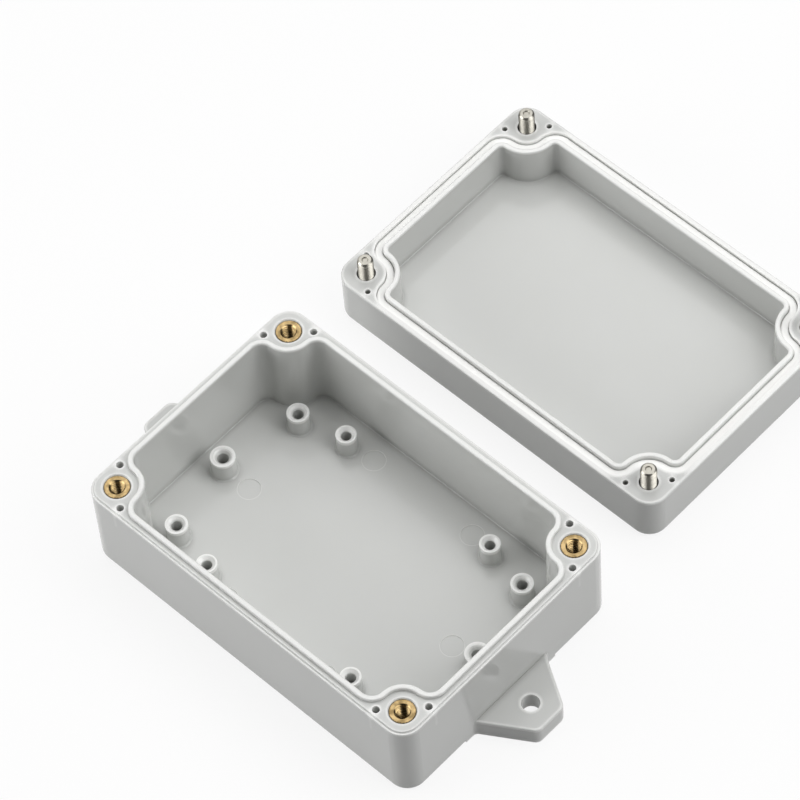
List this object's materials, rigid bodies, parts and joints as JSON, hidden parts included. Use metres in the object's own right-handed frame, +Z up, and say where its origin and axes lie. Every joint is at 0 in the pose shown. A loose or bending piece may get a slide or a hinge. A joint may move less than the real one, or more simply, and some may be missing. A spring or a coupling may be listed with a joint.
{
  "type": "junction box",
  "caption": "Rectangular sealed junction box, opened: a base with fixing ears and standoffs, and its gasketed lid lying beside it with captive screws.",
  "frame": {"origin": "centre of the base's underside, the face that lies on the wall or table", "axes": "+X along the long side through both ear holes, +Y towards the lid that lies beside the base, +Z up out of the open base"},
  "size_m": [0.1246, 0.1535, 0.0265],
  "materials": {
    "grey_housing": "smooth glossy injection moulding",
    "silicone_gasket": "soft satin",
    "brass_insert": "turned",
    "stainless_screw": "bright rolled thread"
  },
  "bodies": {
    "base": {"base": "grey_housing", "insert_front": "brass_insert", "insert_right": "brass_insert", "insert_back": "brass_insert", "insert_left": "brass_insert"},
    "lid": {"lid": "grey_housing", "lid_gasket": "silicone_gasket"},
    "lid_screw_front": {"lid_screw_front": "stainless_screw"},
    "lid_screw_right": {"lid_screw_right": "stainless_screw"},
    "lid_screw_back": {"lid_screw_back": "stainless_screw"},
    "lid_screw_left": {"lid_screw_left": "stainless_screw"}
  },
  "joints": [
    {"name": "lid_lift", "type": "slide", "parent": "base", "child": "lid", "axis": [0, 0, 1], "range_m": [0, 0.06]},
    {"name": "lid_screw_front_turn", "type": "hinge", "parent": "lid", "child": "lid_screw_front", "pos_m": [0.0411, 0.0572, 0], "axis": [0, 0, 1], "continuous": true},
    {"name": "lid_screw_right_turn", "type": "hinge", "parent": "lid", "child": "lid_screw_right", "pos_m": [0.0411, 0.1138, 0], "axis": [0, 0, 1], "continuous": true},
    {"name": "lid_screw_back_turn", "type": "hinge", "parent": "lid", "child": "lid_screw_back", "pos_m": [-0.0475, 0.1138, 0], "axis": [0, 0, 1], "continuous": true},
    {"name": "lid_screw_left_turn", "type": "hinge", "parent": "lid", "child": "lid_screw_left", "pos_m": [-0.0475, 0.0572, 0], "axis": [0, 0, 1], "continuous": true}
  ]
}
